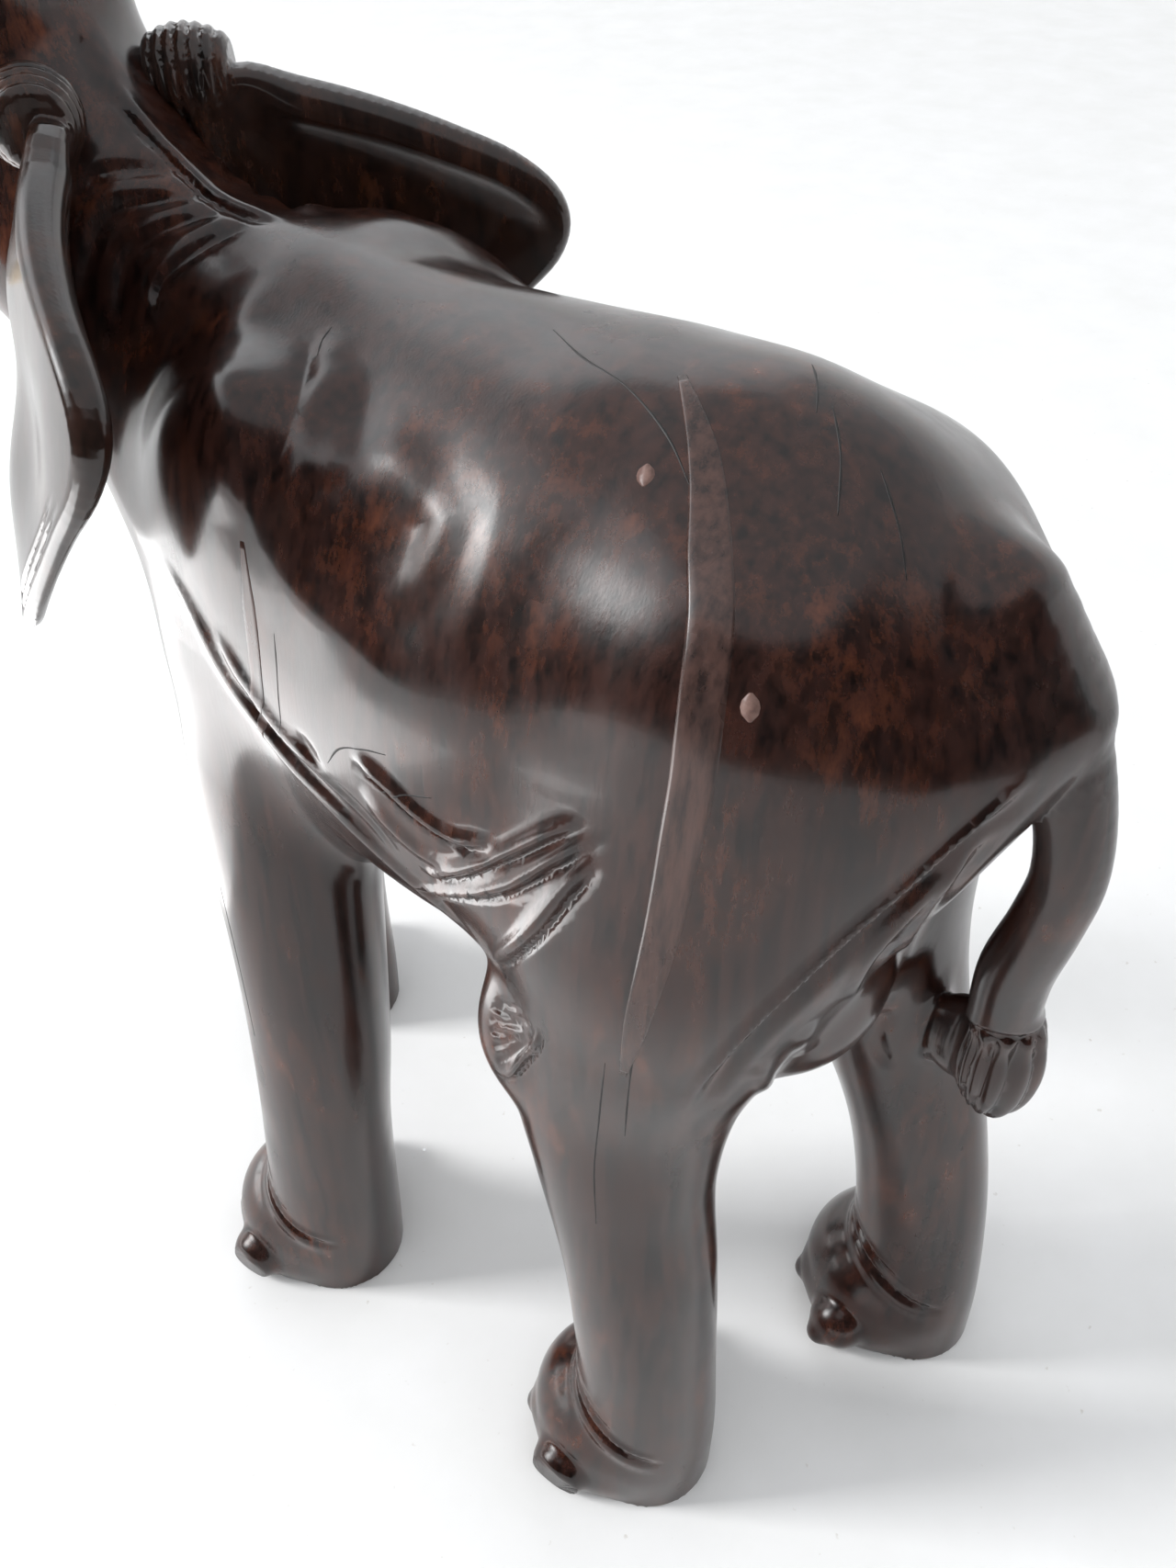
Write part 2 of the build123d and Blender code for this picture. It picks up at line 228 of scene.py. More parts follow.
def through(x, xs, ys):
    """Smooth curve through (xs, ys), read at x."""
    xs, ys = np.asarray(xs, float), np.asarray(ys, float)
    if xs[0] > xs[-1]:
        xs, ys = xs[::-1], ys[::-1]
    slope = np.gradient(ys, xs)
    x = np.clip(x, xs[0], xs[-1])
    i = np.clip(np.searchsorted(xs, x, side="right") - 1, 0, len(xs) - 2)
    h = xs[i + 1] - xs[i]
    t = (x - xs[i]) / h
    return ((2 * t ** 3 - 3 * t ** 2 + 1) * ys[i] + (t ** 3 - 2 * t ** 2 + t) * h * slope[i]
            + (3 * t ** 2 - 2 * t ** 3) * ys[i + 1] + (t ** 3 - t ** 2) * h * slope[i + 1])


def smooth_line(points, steps):
    """Smooth line through the points, with so many steps to each span."""
    p = np.asarray(points, float)
    p = np.vstack([2 * p[0] - p[1], p, 2 * p[-1] - p[-2]])
    t = np.linspace(0, 1, steps, endpoint=False)[:, None]
    runs = [0.5 * (2 * b + (c - a) * t + (2 * a - 5 * b + 4 * c - d) * t ** 2
                   + (3 * b - a - 3 * c + d) * t ** 3)
            for a, b, c, d in zip(p[:-3], p[1:-2], p[2:-1], p[3:])]
    return np.vstack(runs + [p[-2][None]])


def turned(q, rx, ry):
    x, y, z = q.T
    c, s = math.cos(math.radians(ry)), math.sin(math.radians(ry))
    z, x = c * z + s * x, c * x - s * z
    c, s = math.cos(math.radians(rx)), math.sin(math.radians(rx))
    y, z = c * y + s * z, c * z - s * y
    return np.stack([x, y, z], -1)


def ellipsoid(P, centre, radii, rx=0.0, ry=0.0):
    q = turned(P - np.asarray(centre, float), rx, ry) / np.asarray(radii, float)
    k0 = np.sqrt((q * q).sum(-1))
    k1 = np.sqrt(((q / np.asarray(radii, float)) ** 2).sum(-1))
    return k0 * (k0 - 1.0) / np.maximum(k1, 1e-6)


def tube(P, line, steps=5):
    """Distance to a tapering round run, and the length along it."""
    q = smooth_line(line, steps)
    best, along, start = np.full(len(P), FAR), np.zeros(len(P)), 0.0
    for a, b in zip(q[:-1], q[1:]):
        d = b[:3] - a[:3]
        length = math.sqrt(d @ d)
        t = np.clip((P - a[:3]) @ d / length ** 2, 0, 1)
        e = P - a[:3] - t[:, None] * d
        dist = np.sqrt((e * e).sum(-1)) - (a[3] + (b[3] - a[3]) * t)
        nearer = dist < best
        best[nearer] = dist[nearer]
        along[nearer] = (start + t * length)[nearer]
        start += length
    return best, along


# ---- body -------------------------------------------------------------------
def torso(P):
    x, y, z = P.T
    st = np.array(TORSO, float)
    half, top, low, power = (through(y, st[:, 0], st[:, i]) for i in range(1, 5))
    middle, rise = (top + low) / 2, (top - low) / 2
    p = np.where(z > middle, power, 2.0)
    u, w = np.abs(x / half) + 1e-6, np.abs((z - middle) / rise) + 1e-6
    up, wp = u ** p, w ** p
    k0 = (up + wp) ** (1 / p)
    grad = k0 ** (1 - p) * np.sqrt((up / u / half) ** 2 + (wp / w / rise) ** 2)
    ends = np.maximum(y - TORSO[0][0], TORSO[-1][0] - y)
    return smooth_max((k0 - 1) / np.maximum(grad, 1e-4), ends, 14.0)


def column(rows):
    top = rows[0][0]
    st = np.array(rows, float)

    def field(P):
        z = np.clip(P[:, 2], 0, top)
        cx, cy, rx, ry = (through(z, st[:, 0], st[:, i]) for i in range(1, 5))
        u, v = (P[:, 0] - cx) / rx, (P[:, 1] - cy) / ry
        k0 = np.sqrt(u * u + v * v) + 1e-9
        k1 = np.sqrt((u / rx) ** 2 + (v / ry) ** 2) + 1e-9
        return smooth_max(k0 * (k0 - 1) / k1, P[:, 2] - top, 30.0)
    box = (st[:, 1] - st[:, 3]).min(), (st[:, 2] - st[:, 4]).min(), 0.0
    far = (st[:, 1] + st[:, 3]).max(), (st[:, 2] + st[:, 4]).max(), top
    return np.array(box), np.array(far), field


def ball(centre, radii, rx=0.0, ry=0.0):
    reach = max(radii)
    centre = np.array(centre, float)
    return centre - reach, centre + reach, lambda P: ellipsoid(P, centre, radii, rx, ry)


def run(line):
    q = np.array(line, float)
    reach = q[:, 3:].max()
    return q[:, :3].min(0) - reach, q[:, :3].max(0) + reach, lambda P: tube(P, line)[0]


def foot_parts(x, y):
    """The swelling over the toes, then the domed toes with their small round tips."""
    parts = [(8, ball((x, y - 19, 29), (44, 46, 45))), (5, ball((x, y - 21, 14), (46, 44, 36)))]
    for angle in TOE_ANGLES:
        a = math.radians(angle)
        for reach, height, size, k in TOE_BALLS:
            centre = (x + reach * math.sin(a), y - reach * math.cos(a), height)
            parts.append((k, ball(centre, (size, size, size))))
    return parts


def body_parts():
    """All masses that are blended onto the torso, each with the width of its blend."""
    parts = []
    for side in (1, -1):
        parts += [
            (24, ball((side * 53, 22, 512), (33, 48, 62), -14, side * 16)),   # shoulder
            (14, ball((side * 63, 56 + side * 28, 503), (29, 42, 54), 0, side * 10)),   # shoulder blade
            (30, ball((side * 46, 228, 480), (50, 62, 78), 0, side * 10)),   # haunch
            (22, ball((side * 22, -150, 684), (36, 46, 36))),   # dome of the head
            (20, ball((side * 34, -190, 606), (26, 36, 34))),   # cheek
        ]
    parts += [(30, column(HIND_LEFT)), (30, column(HIND_RIGHT))]
    parts += [(26, column(FORE_LEFT)), (26, column(FORE_RIGHT))]
    parts += [
        (26, ball((-40, 4, 562), (28, 40, 29), 0, -20)),   # top of the right blade
        (24, ball((6, 236, 335), (38, 42, 62), -18)),   # between the hind legs
    ]
    parts += [(12, ball(knee, KNEE_RADII)) for knee in KNEES]
    parts += [(14, run(TAIL[:2])), (3, run(TAIL)), (16, run(TRUNK)), (14, run(LOWER_LIP))]
    parts += [
        (12, ball((-35, 325, 294), (16, 18, 36))),   # tuft of the tail
        (12, ball((-44, 305, 286), (8, 15, 26))),   # wood left beside it
    ]
    for side in (1, -1):
        parts.append((8, run([(side * x, y, z, r) for x, y, z, r in SOCKET])))
        parts.append((2, ball((side * EYE[0], EYE[1], EYE[2]), (EYELID_RADIUS,) * 3)))
    for x, y in FEET:
        parts += foot_parts(x, y)
    return parts


PARTS = body_parts()


def form(P):
    """The smooth mass of the block, before its lines are cut."""
    d = torso(P)
    for k, (low, high, field) in PARTS:
        margin = k + 14.0
        near = np.flatnonzero(((P > low - margin) & (P < high + margin)).all(1))
        if len(near):
            d[near] = smooth_min(d[near], field(P[near]), k)
    return np.maximum(d, -P[:, 2])


def slope_of(field, P, reach=0.6):
    """Unit direction in which the field grows."""
    g = np.stack([field(P + reach * e) - field(P - reach * e) for e in np.eye(3)], -1)
    return g / np.maximum(np.linalg.norm(g, axis=1, keepdims=True), 1e-9)


def onto(field, P, turns=6):
    """The points moved to the field's surface."""
    P = np.array(P, float)
    for _ in range(turns):
        P -= 0.9 * field(P)[:, None] * slope_of(field, P)
    return P


class Stroke:
    """A ridge, groove or fold that follows a line laid on the skin."""

    def __init__(self, kind, height, width, points, field):
        self.kind, self.height, self.width = kind, height, width
        self.line = onto(field, smooth_line(points, 5))
        out = slope_of(field, self.line)
        along = np.gradient(self.line, axis=0)
        side = np.cross(out, along)
        self.side = side / np.maximum(np.linalg.norm(side, axis=1, keepdims=True), 1e-9)
        margin = 4 * width
        self.low, self.high = self.line.min(0) - margin, self.line.max(0) + margin

    def lift(self, P):
        near = np.flatnonzero(((P > self.low) & (P < self.high)).all(1))
        rise = np.zeros(len(P))
        if not len(near):
            return rise
        q = P[near]
        best, offset, place = np.full(len(q), FAR), np.zeros(len(q)), np.zeros(len(q))
        spans = len(self.line) - 1
        for i in range(spans):
            d = self.line[i + 1] - self.line[i]
            t = np.clip((q - self.line[i]) @ d / max(d @ d, 1e-9), 0, 1)
            e = q - self.line[i] - t[:, None] * d
            dist = (e * e).sum(-1)
            nearer = dist < best
            best[nearer] = dist[nearer]
            offset[nearer] = (e[nearer] @ self.side[i])
            place[nearer] = (i + t[nearer]) / spans
        dist = np.sqrt(best) / self.width
        s = offset / self.width
        fade = step(place / 0.22) * step((1 - place) / 0.22)
        if self.kind == "fold":
            shape = (bell(s - 0.95, 0.85) - 0.75 * bell(s, 0.42)) * np.exp(-(dist / 2.4) ** 4)
        else:
            shape = np.exp(-dist ** 2)
        rise[near] = self.height * fade * shape
        return rise


def ankle(P):
    """Creases that drop from the front of each ankle to its sides."""
    rise = np.zeros(len(P))
    for x, y in FEET:
        near = np.flatnonzero((np.abs(P[:, 0] - x) < 60) & (np.abs(P[:, 1] - y) < 70) & (P[:, 2] < 100))
        if not len(near):
            continue
        q = P[near]
        front = -(q[:, 1] - y) / np.maximum(np.hypot(q[:, 0] - x, q[:, 1] - y), 1e-6)
        turn = np.degrees(np.arccos(np.clip(front, -1, 1)))
        up = q[:, 2] - (ANKLE_FRONT - ANKLE_DROP * (1 - front))
        low_crease = -2.4 * bell(up, 2.6) + 1.6 * bell(up + 6, 5) + 1.3 * bell(up - 5, 3)
        high_crease = -1.6 * bell(up - 11, 2.4) + 0.8 * bell(up - 15, 3)
        rise[near] += step((140 - turn) / 50) * low_crease
        rise[near] += step((95 - turn) / 40) * high_crease
    return rise


def tuft(P):
    """Flutes down the tuft of the tail, under the round edge of the tail's end."""
    x, y, z = P.T
    near = step((350 - z) / 6) * step((z - 250) / 10) * step((60 - np.hypot(x + 36, y - 326)) / 30)
    near = near * step((y - 306) / 6)
    turn = np.arctan2(y - 318, -(x + 36))
    flute = np.abs(np.sin(turn * 6.5)) - 0.6
    edge = 327 - 0.25 * (y - 326) ** 2 / 10
    return near * (1.9 * flute * step((edge - z) / 5) - 2.0 * bell(z - edge, 2.4))


def blade_flat(P):
    """Plane that planes off the skin under the left shoulder blade and dies out around it."""
    x, y, z = P.T
    here = step((y - 34) / 40) * step((146 - y) / 34) * step((z - 480) / 50)
    a, b, c, reach = BLADE_FLAT
    away = step((y - 135) / 60) + step((20 - y) / 60)
    return a * x + b * y + c * z - reach - 9 * (1 - here) - 60 * away


def trunk_rings(P):
    """Rings of wrinkled skin round the trunk."""
    rise = np.zeros(len(P))
    near = np.flatnonzero((np.abs(P[:, 0]) < 50) & (P[:, 1] < -200) & (P[:, 2] > 545))
    if len(near):
        dist, along = tube(P[near], TRUNK)
        ring = np.abs(np.sin(math.pi * along / RING_SPACING)) - 0.6
        rise[near] = 1.1 * ring * step((along - 45) / 40) * step((6 - dist) / 6)
    return rise


def unevenness(P):
    """The slight waviness that a knife and rasp leave on a polished figure."""
    x, y, z = (P * 0.021).T
    across, along = np.sin(x * 1.7 + 1.3 * np.sin(z * 1.1)), np.sin(y * 1.9 + 0.8 * np.sin(x * 1.6))
    return 0.55 * across * along * np.sin(z * 1.2 + 1.1 * np.sin(y * 1.3))


NECK_LINES = SEAM + NECK_FOLDS + mirrored(NECK_FOLDS)
LEFT_LINES = SHOULDER + BELLY + KNEE + REAR_FOLDS
# The right side repeats the left, moved to where its own legs stand
RIGHT_LINES = mirrored(shifted(SHOULDER, 0, -40, 0) + BELLY[4:] + shifted(KNEE, 0, 50, 10))
STROKES = [Stroke(*line, form) for line in NECK_LINES + LEFT_LINES + RIGHT_LINES + HEAD + mirrored(HEAD)]
NOSTRILS = [(side * 6.0, -262, 801) for side in (1, -1)]


def body_field(P):
    d = form(P)
    close = np.flatnonzero(np.abs(d) < 16)
    if len(close):
        q = P[close]
        rise = ankle(q) + tuft(q) + trunk_rings(q) + unevenness(q)
        for stroke in STROKES:
            rise += stroke.lift(q)
        carved = smooth_max(d[close], blade_flat(q), 9.0) - rise
        for hole in NOSTRILS:
            carved = smooth_max(carved, 5.0 - np.linalg.norm(q - np.array(hole), axis=1), 3.0)
        carved = smooth_max(carved, 4.0 - from_mouth(q), 4.0)
        d[close] = carved
    return np.maximum(d, -P[:, 2])


def from_mouth(P):
    """Distance from the hollow of the mouth, between lip and trunk."""
    spread = (P - np.array(MOUTH)) / np.array(MOUTH_SHAPE)
    return np.maximum(np.linalg.norm(spread, axis=1) - 4.0, -4.0)


# ---- ears -------------------------------------------------------------------
EAR_EDGE = smooth_line(EAR_OUTLINE + EAR_OUTLINE[:1], 4)[:-1]


def outline_distance(a, b):
    """Distance from the ear's outline, negative inside."""
    best, inside = np.full(len(a), FAR), np.zeros(len(a), bool)
    for (x0, y0), (x1, y1) in zip(EAR_EDGE, np.roll(EAR_EDGE, -1, 0)):
        dx, dy = x1 - x0, y1 - y0
        t = np.clip(((a - x0) * dx + (b - y0) * dy) / (dx * dx + dy * dy), 0, 1)
        best = np.minimum(best, (a - x0 - t * dx) ** 2 + (b - y0 - t * dy) ** 2)
        if dy:
            inside ^= ((y0 > b) != (y1 > b)) & (a < x0 + (b - y0) / dy * dx)
    return np.where(inside, -1.0, 1.0) * np.sqrt(best)


def swelling(a, b, centre, size):
    return np.exp(-((a - centre[0]) / size[0]) ** 2 - ((b - centre[1]) / size[1]) ** 2)


def ear_field(P):
    q = P - COLLAR
    a, b, c = q @ ACROSS, q @ DOWN, q @ REAR
    edge = outline_distance(a, b)
    sheet = EAR_DISH_RADIUS - np.sqrt(np.maximum(EAR_DISH_RADIUS ** 2 - (a - EAR_DISH_CENTRE) ** 2, 1.0))
    inner = -edge
    half = EAR_THICKNESS / 2 - 2.2 * step(b / 160) + 1.2 * step((20 - b) / 30)
    # the rear face is hollow below a rolled rim; the front face swells in lobes
    roll = 4.5 * bell(inner - 9, 7.5) * step((95 - b) / 60) * step((a - 20) / 25)
    hollow = 1.8 * step((inner - 16) / 14)
    swell = 4.0 * swelling(a, b, (58, 40), (30, 22)) + 4.5 * swelling(a, b, (62, 112), (26, 34))
    swell = swell - 3.0 * swelling(a, b, (96, 82), (24, 30)) - 2.2 * swelling(a, b, (40, 78), (14, 20))
    lines = sum(bell(inner - depth, 1.3) for depth in (7, 12))
    lines = lines * step((b - 80) / 30) * step((a - 50) / 15)
    level = c - sheet
    thick = np.where(level > 0, level - (half + roll - hollow), -level - (half + swell - 1.2 * lines))
    past_edge, past_face = edge + EAR_ROUNDING, thick + EAR_ROUNDING
    rounded = np.sqrt(np.maximum(past_edge, 0) ** 2 + np.maximum(past_face, 0) ** 2)
    blade = np.minimum(np.maximum(past_edge, past_face), 0) + rounded - EAR_ROUNDING
    radius = COLLAR_RADIUS - 5.5 * (2 * a / COLLAR_LENGTH) ** 2
    rings = 1.5 * np.abs(np.sin(math.pi * (a / COLLAR_LENGTH + 0.5) * COLLAR_RINGS)) - 0.4
    collar = np.maximum(np.hypot(b, c) - radius - rings, np.abs(a) - COLLAR_LENGTH / 2)
    return smooth_min(blade, collar, 3.0)


# ---- meshing ----------------------------------------------------------------
def in_threads(field, P, size=60_000):
    """The field at many points, worked out in several threads."""
    pieces = [P[i:i + size] for i in range(0, len(P), size)]
    with ThreadPoolExecutor(4) as pool:
        return np.concatenate(list(pool.map(field, pieces)))


def sampled(field, rough, low, high, cell):
    """Field values on a fine grid, worked out only where the rough form is near."""
    wide = cell * COARSE
    count = np.ceil((high - low) / wide).astype(int)
    corners = np.stack(np.meshgrid(*[np.arange(n) for n in count], indexing="ij"), -1).reshape(-1, 3)
    middle = low + (corners + 0.5) * wide
    guess = in_threads(rough, middle)
    marked = np.abs(guess) < wide * 1.05 + 5.0
    values = guess.reshape(count).astype(np.float32)
    for axis in range(3):
        values = np.repeat(values, COARSE, axis)
    inner = np.stack(np.meshgrid(*[np.arange(COARSE)] * 3, indexing="ij"), -1).reshape(-1, 3)
    index = (corners[marked][:, None] * COARSE + inner[None]).reshape(-1, 3)
    exact = in_threads(field, low + index * cell)
    values[index[:, 0], index[:, 1], index[:, 2]] = exact
    return values


def grid_mesh(values, low, cell):
    grid = openvdb.FloatGrid(FAR)
    grid.copyFromArray(values)
    points, quads = grid.convertToQuads()
    return low + points.astype(float) * cell, quads


def to_object(name, points, faces):
    mesh = bpy.data.meshes.new(name)
    mesh.from_pydata((points * MM).tolist(), [], faces.tolist())
    mesh.validate()
    piece = bpy.data.objects.new(name, mesh)
    bpy.context.scene.collection.objects.link(piece)
    return piece


def thin_out(piece, limit):
    """Fewer triangles, kept where the surface turns most."""
    count = 2 * len(piece.data.polygons)
    if count > limit:
        tool = piece.modifiers.new("thin", "DECIMATE")
        tool.ratio = limit / count
        tool.use_collapse_triangulate = True
        depsgraph = bpy.context.evaluated_depsgraph_get()
        thinned = bpy.data.meshes.new_from_object(piece.evaluated_get(depsgraph))
        piece.modifiers.clear()
        piece.data = thinned


def settle(piece, field, turns=2):
    """Moves the vertices onto the exact field and takes the shading from it."""
    mesh = piece.data
    co = np.empty(len(mesh.vertices) * 3)
    mesh.vertices.foreach_get("co", co)
    P = co.reshape(-1, 3) / MM

    def threaded(Q):
        return in_threads(field, Q)

    for _ in range(turns):
        d = np.clip(threaded(P), -1.2, 1.2)
        P = P - d[:, None] * slope_of(threaded, P, 0.5) * 0.8
    mesh.vertices.foreach_set("co", (P * MM).ravel())
    mesh.shade_smooth()
    mesh.normals_split_custom_set_from_vertices(slope_of(threaded, P, 0.5).tolist())
    mesh.update()


def sculpt(name, field, rough, low, high, cell):
    low, high = np.array(low, float), np.array(high, float)
    points, faces = grid_mesh(sampled(field, rough, low, high, cell), low, cell)
    piece = to_object(name, points, faces)
    thin_out(piece, TRIANGLES)
    settle(piece, field)
    return piece


def flip_side(piece, name):
    """A mirror-image copy on the other side of the figure."""
    copy = piece.copy()
    copy.data = piece.data.copy()
    copy.name = copy.data.name = name
    bpy.context.scene.collection.objects.link(copy)
    copy.data.transform(Matrix.Scale(-1, 4, (1, 0, 0)))
    copy.data.flip_normals()
    return copy


# ---- materials --------------------------------------------------------------
POLISH_IOR = 1.52
WAX_COAT, WAX_ROUGHNESS = 0.10, 0.06


def relief(tree, height, strength, distance):
    """Fine surface relief on the material's shader."""
    made = tree.nodes.new("ShaderNodeBump")
    made.inputs["Strength"].default_value = strength
    made.inputs["Distance"].default_value = distance
    tree.links.new(height, made.inputs["Height"])
    tree.links.new(made.outputs["Normal"], tree.nodes["Principled BSDF"].inputs["Normal"])


def ramp(tree, source, stops):
    made = tree.nodes.new("ShaderNodeValToRGB")
    elements = made.color_ramp.elements
    while len(elements) < len(stops):
        elements.new(0.5)
    for element, (place, colour) in zip(elements, stops):
        element.position = place
        element.color = (*colour, 1) if len(colour) == 3 else colour
    tree.links.new(source, made.inputs["Fac"])
    return made.outputs["Color"]


def noise(tree, vector, scale, detail=5.0, roughness=0.6):
    made = tree.nodes.new("ShaderNodeTexNoise")
    made.inputs["Scale"].default_value = scale
    made.inputs["Detail"].default_value = detail
    made.inputs["Roughness"].default_value = roughness
    tree.links.new(vector, made.inputs["Vector"])
    return made.outputs["Fac"]


def stretched(tree, vector, scale):
    made = tree.nodes.new("ShaderNodeMapping")
    made.inputs["Scale"].default_value = scale
    tree.links.new(vector, made.inputs["Vector"])
    return made.outputs["Vector"]


def mixed(tree, factor, first, second, blend="MIX"):
    made = tree.nodes.new("ShaderNodeMix")
    made.data_type = "RGBA"
    made.blend_type = blend
    for socket, value in zip((made.inputs[0], made.inputs[6], made.inputs[7]), (factor, first, second)):
        if isinstance(value, (tuple, float)):
            socket.default_value = (*value, 1) if isinstance(value, tuple) else value
        else:
            tree.links.new(value, socket)
    return made.outputs[2]


def dark_wood(name, deep, warm, glow, glow_share, roughness):
    """Near-black polished hardwood with upright streaks and orange-brown clouds."""
    material = bpy.data.materials.new(name)
    material.use_nodes = True
    tree = material.node_tree
    shader = tree.nodes["Principled BSDF"]
    place = tree.nodes.new("ShaderNodeTexCoord").outputs["Object"]
    grain = noise(tree, stretched(tree, place, (190, 190, 9)), 1.0, 6, 0.65)
    pores = noise(tree, stretched(tree, place, (900, 900, 60)), 1.0, 3, 0.6)
    clouds = noise(tree, stretched(tree, place, (17, 17, 11)), 1.0, 4, 0.62)
    flecks = noise(tree, stretched(tree, place, (120, 120, 38)), 1.0, 7, 0.72)
    tone = ramp(tree, grain, [(0.36, deep), (0.60, warm)])
    patch = ramp(tree, clouds, [(0.44, (0, 0, 0)), (0.66, (1, 1, 1))])
    fleck = ramp(tree, flecks, [(0.46, (0, 0, 0)), (0.68, (1, 1, 1))])
    where = mixed(tree, glow_share, (0.0, 0.0, 0.0), mixed(tree, 1.0, patch, fleck, "MULTIPLY"))
    tree.links.new(mixed(tree, where, tone, glow), shader.inputs["Base Color"])
    smear = noise(tree, stretched(tree, place, (26, 26, 14)), 1.0, 5, 0.6)
    low, high = roughness
    tree.links.new(ramp(tree, smear, [(0.35, (low,) * 3), (0.68, (high,) * 3)]), shader.inputs["Roughness"])
    shader.inputs["IOR"].default_value = POLISH_IOR
    shader.inputs["Coat Weight"].default_value = WAX_COAT
    shader.inputs["Coat Roughness"].default_value = WAX_ROUGHNESS
    fine = mixed(tree, 0.5, grain, pores)
    relief(tree, fine, 0.10, 0.0005)
    return material


def plain_wood(name, deep, pale, scale, roughness):
    """Lighter fitted wood or filler with fine grain."""
    material = bpy.data.materials.new(name)
    material.use_nodes = True
    tree = material.node_tree
    shader = tree.nodes["Principled BSDF"]
    place = tree.nodes.new("ShaderNodeTexCoord").outputs["Object"]
    grain = noise(tree, stretched(tree, place, scale), 1.0, 5, 0.6)
    tree.links.new(ramp(tree, grain, [(0.35, deep), (0.66, pale)]), shader.inputs["Base Color"])
    tree.links.new(ramp(tree, grain, [(0.3, (roughness,) * 3), (0.7, (roughness + 0.12,) * 3)]),
                   shader.inputs["Roughness"])
    relief(tree, grain, 0.12, 0.0004)
    return material


def finish_piece(piece, node_names, slot, *materials):
    piece.data.materials.clear()
    for material in materials:
        piece.data.materials.append(material)
    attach(piece, "root")
    if node_names:
        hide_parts(*node_names)
    return piece


# ---- let-in strips, checks and plugs ------------------------------------------
def ribbon(name, line, widths, proud, sink, edge_share=0.0):
    """A closed band along a line on the body's skin; the outer share of its width is its glue line."""
    centre = onto(body_field, smooth_line(line, 9))
    width = np.interp(np.linspace(0, 1, len(centre)), np.linspace(0, 1, len(widths)), widths)
    out = slope_of(body_field, centre)
    along = np.gradient(centre, axis=0)
    side = np.cross(along, out)
    side /= np.linalg.norm(side, axis=1, keepdims=True)
    shares = (-1, -1 + edge_share, -0.5, 0, 0.5, 1 - edge_share, 1) if edge_share else (-1, 0, 1)
    columns = []
    for share in shares:
        column_points = onto(body_field, centre + side * (share * width / 2)[:, None], 4)
        lift = proud if abs(share) < 1 else 0.0
        columns.append(column_points + lift * slope_of(body_field, column_points))
    top = np.stack(columns, 1)
    bottom = top - sink * slope_of(body_field, top.reshape(-1, 3)).reshape(top.shape)
    rows, count = top.shape[:2]
    points = np.concatenate([top.reshape(-1, 3), bottom.reshape(-1, 3)])
    under = rows * count
    faces, kinds = [], []
    for i in range(rows - 1):
        for j in range(count - 1):
            a, b, c, d = i * count + j, i * count + j + 1, (i + 1) * count + j + 1, (i + 1) * count + j
            faces += [(a, b, c, d), (a + under, d + under, c + under, b + under)]
            kinds += [1 if edge_share and j in (0, count - 2) else 0] * 2
        for j, flip in ((0, False), (count - 1, True)):
            a, d = i * count + j, (i + 1) * count + j
            rim = (a, d, d + under, a + under)
            faces.append(rim[::-1] if flip else rim)
            kinds.append(1 if edge_share else 0)
    for i, flip in ((0, True), (rows - 1, False)):
        for j in range(count - 1):
            a, b = i * count + j, i * count + j + 1
            rim = (a, b, b + under, a + under)
            faces.append(rim[::-1] if flip else rim)
            kinds.append(0)
    piece = to_object(name, points, np.array(faces))
    piece.data.polygons.foreach_set("material_index", kinds)
    piece.data.shade_smooth()
    return piece


# ---- stage --------------------------------------------------------------------
CAMERA_PLACE = (0.369, 0.375, 0.770)
CAMERA_AZIMUTH, CAMERA_ELEVATION = 123.5, 41.0
FRAME_HEIGHT, FOCAL = 1707, 1460
SKY_LIGHT = 0.80
WINDOW_POWER, LIT_FLOOR_POWER = 215, 10                       # watts
PALE_ROOM_LIGHT = 2.3
PALE_ROOM_COLOUR = (0.80, 0.82, 0.84)
DARK_ROOM_COLOUR = (0.010, 0.009, 0.010)


def add_camera():
    data = bpy.data.cameras.new("camera")
    data.sensor_fit = "AUTO"
    data.sensor_width = 36
    data.lens = 36 * FOCAL / FRAME_HEIGHT
    data.clip_start, data.clip_end = 0.01, 60
    camera = bpy.data.objects.new("camera", data)
    a, e = math.radians(CAMERA_AZIMUTH), math.radians(CAMERA_ELEVATION)
    look = Vector((-math.sin(a) * math.cos(e), math.cos(a) * math.cos(e), -math.sin(e)))
    camera.location = CAMERA_PLACE
    camera.rotation_euler = look.to_track_quat("-Z", "Y").to_euler()
    bpy.context.scene.collection.objects.link(camera)
    bpy.context.scene.camera = camera


def panel(name, place, target, size, power, colour=(1, 1, 1)):
    """A soft rectangular light aimed at a point."""
    data = bpy.data.lights.new(name, "AREA")
    data.shape = "RECTANGLE"
    data.size, data.size_y = size
    data.energy = power
    data.color = colour
    lamp = bpy.data.objects.new(name, data)
    lamp.location = place
    lamp.rotation_euler = (Vector(target) - Vector(place)).to_track_quat("-Z", "Y").to_euler()
    bpy.context.scene.collection.objects.link(lamp)
    return lamp


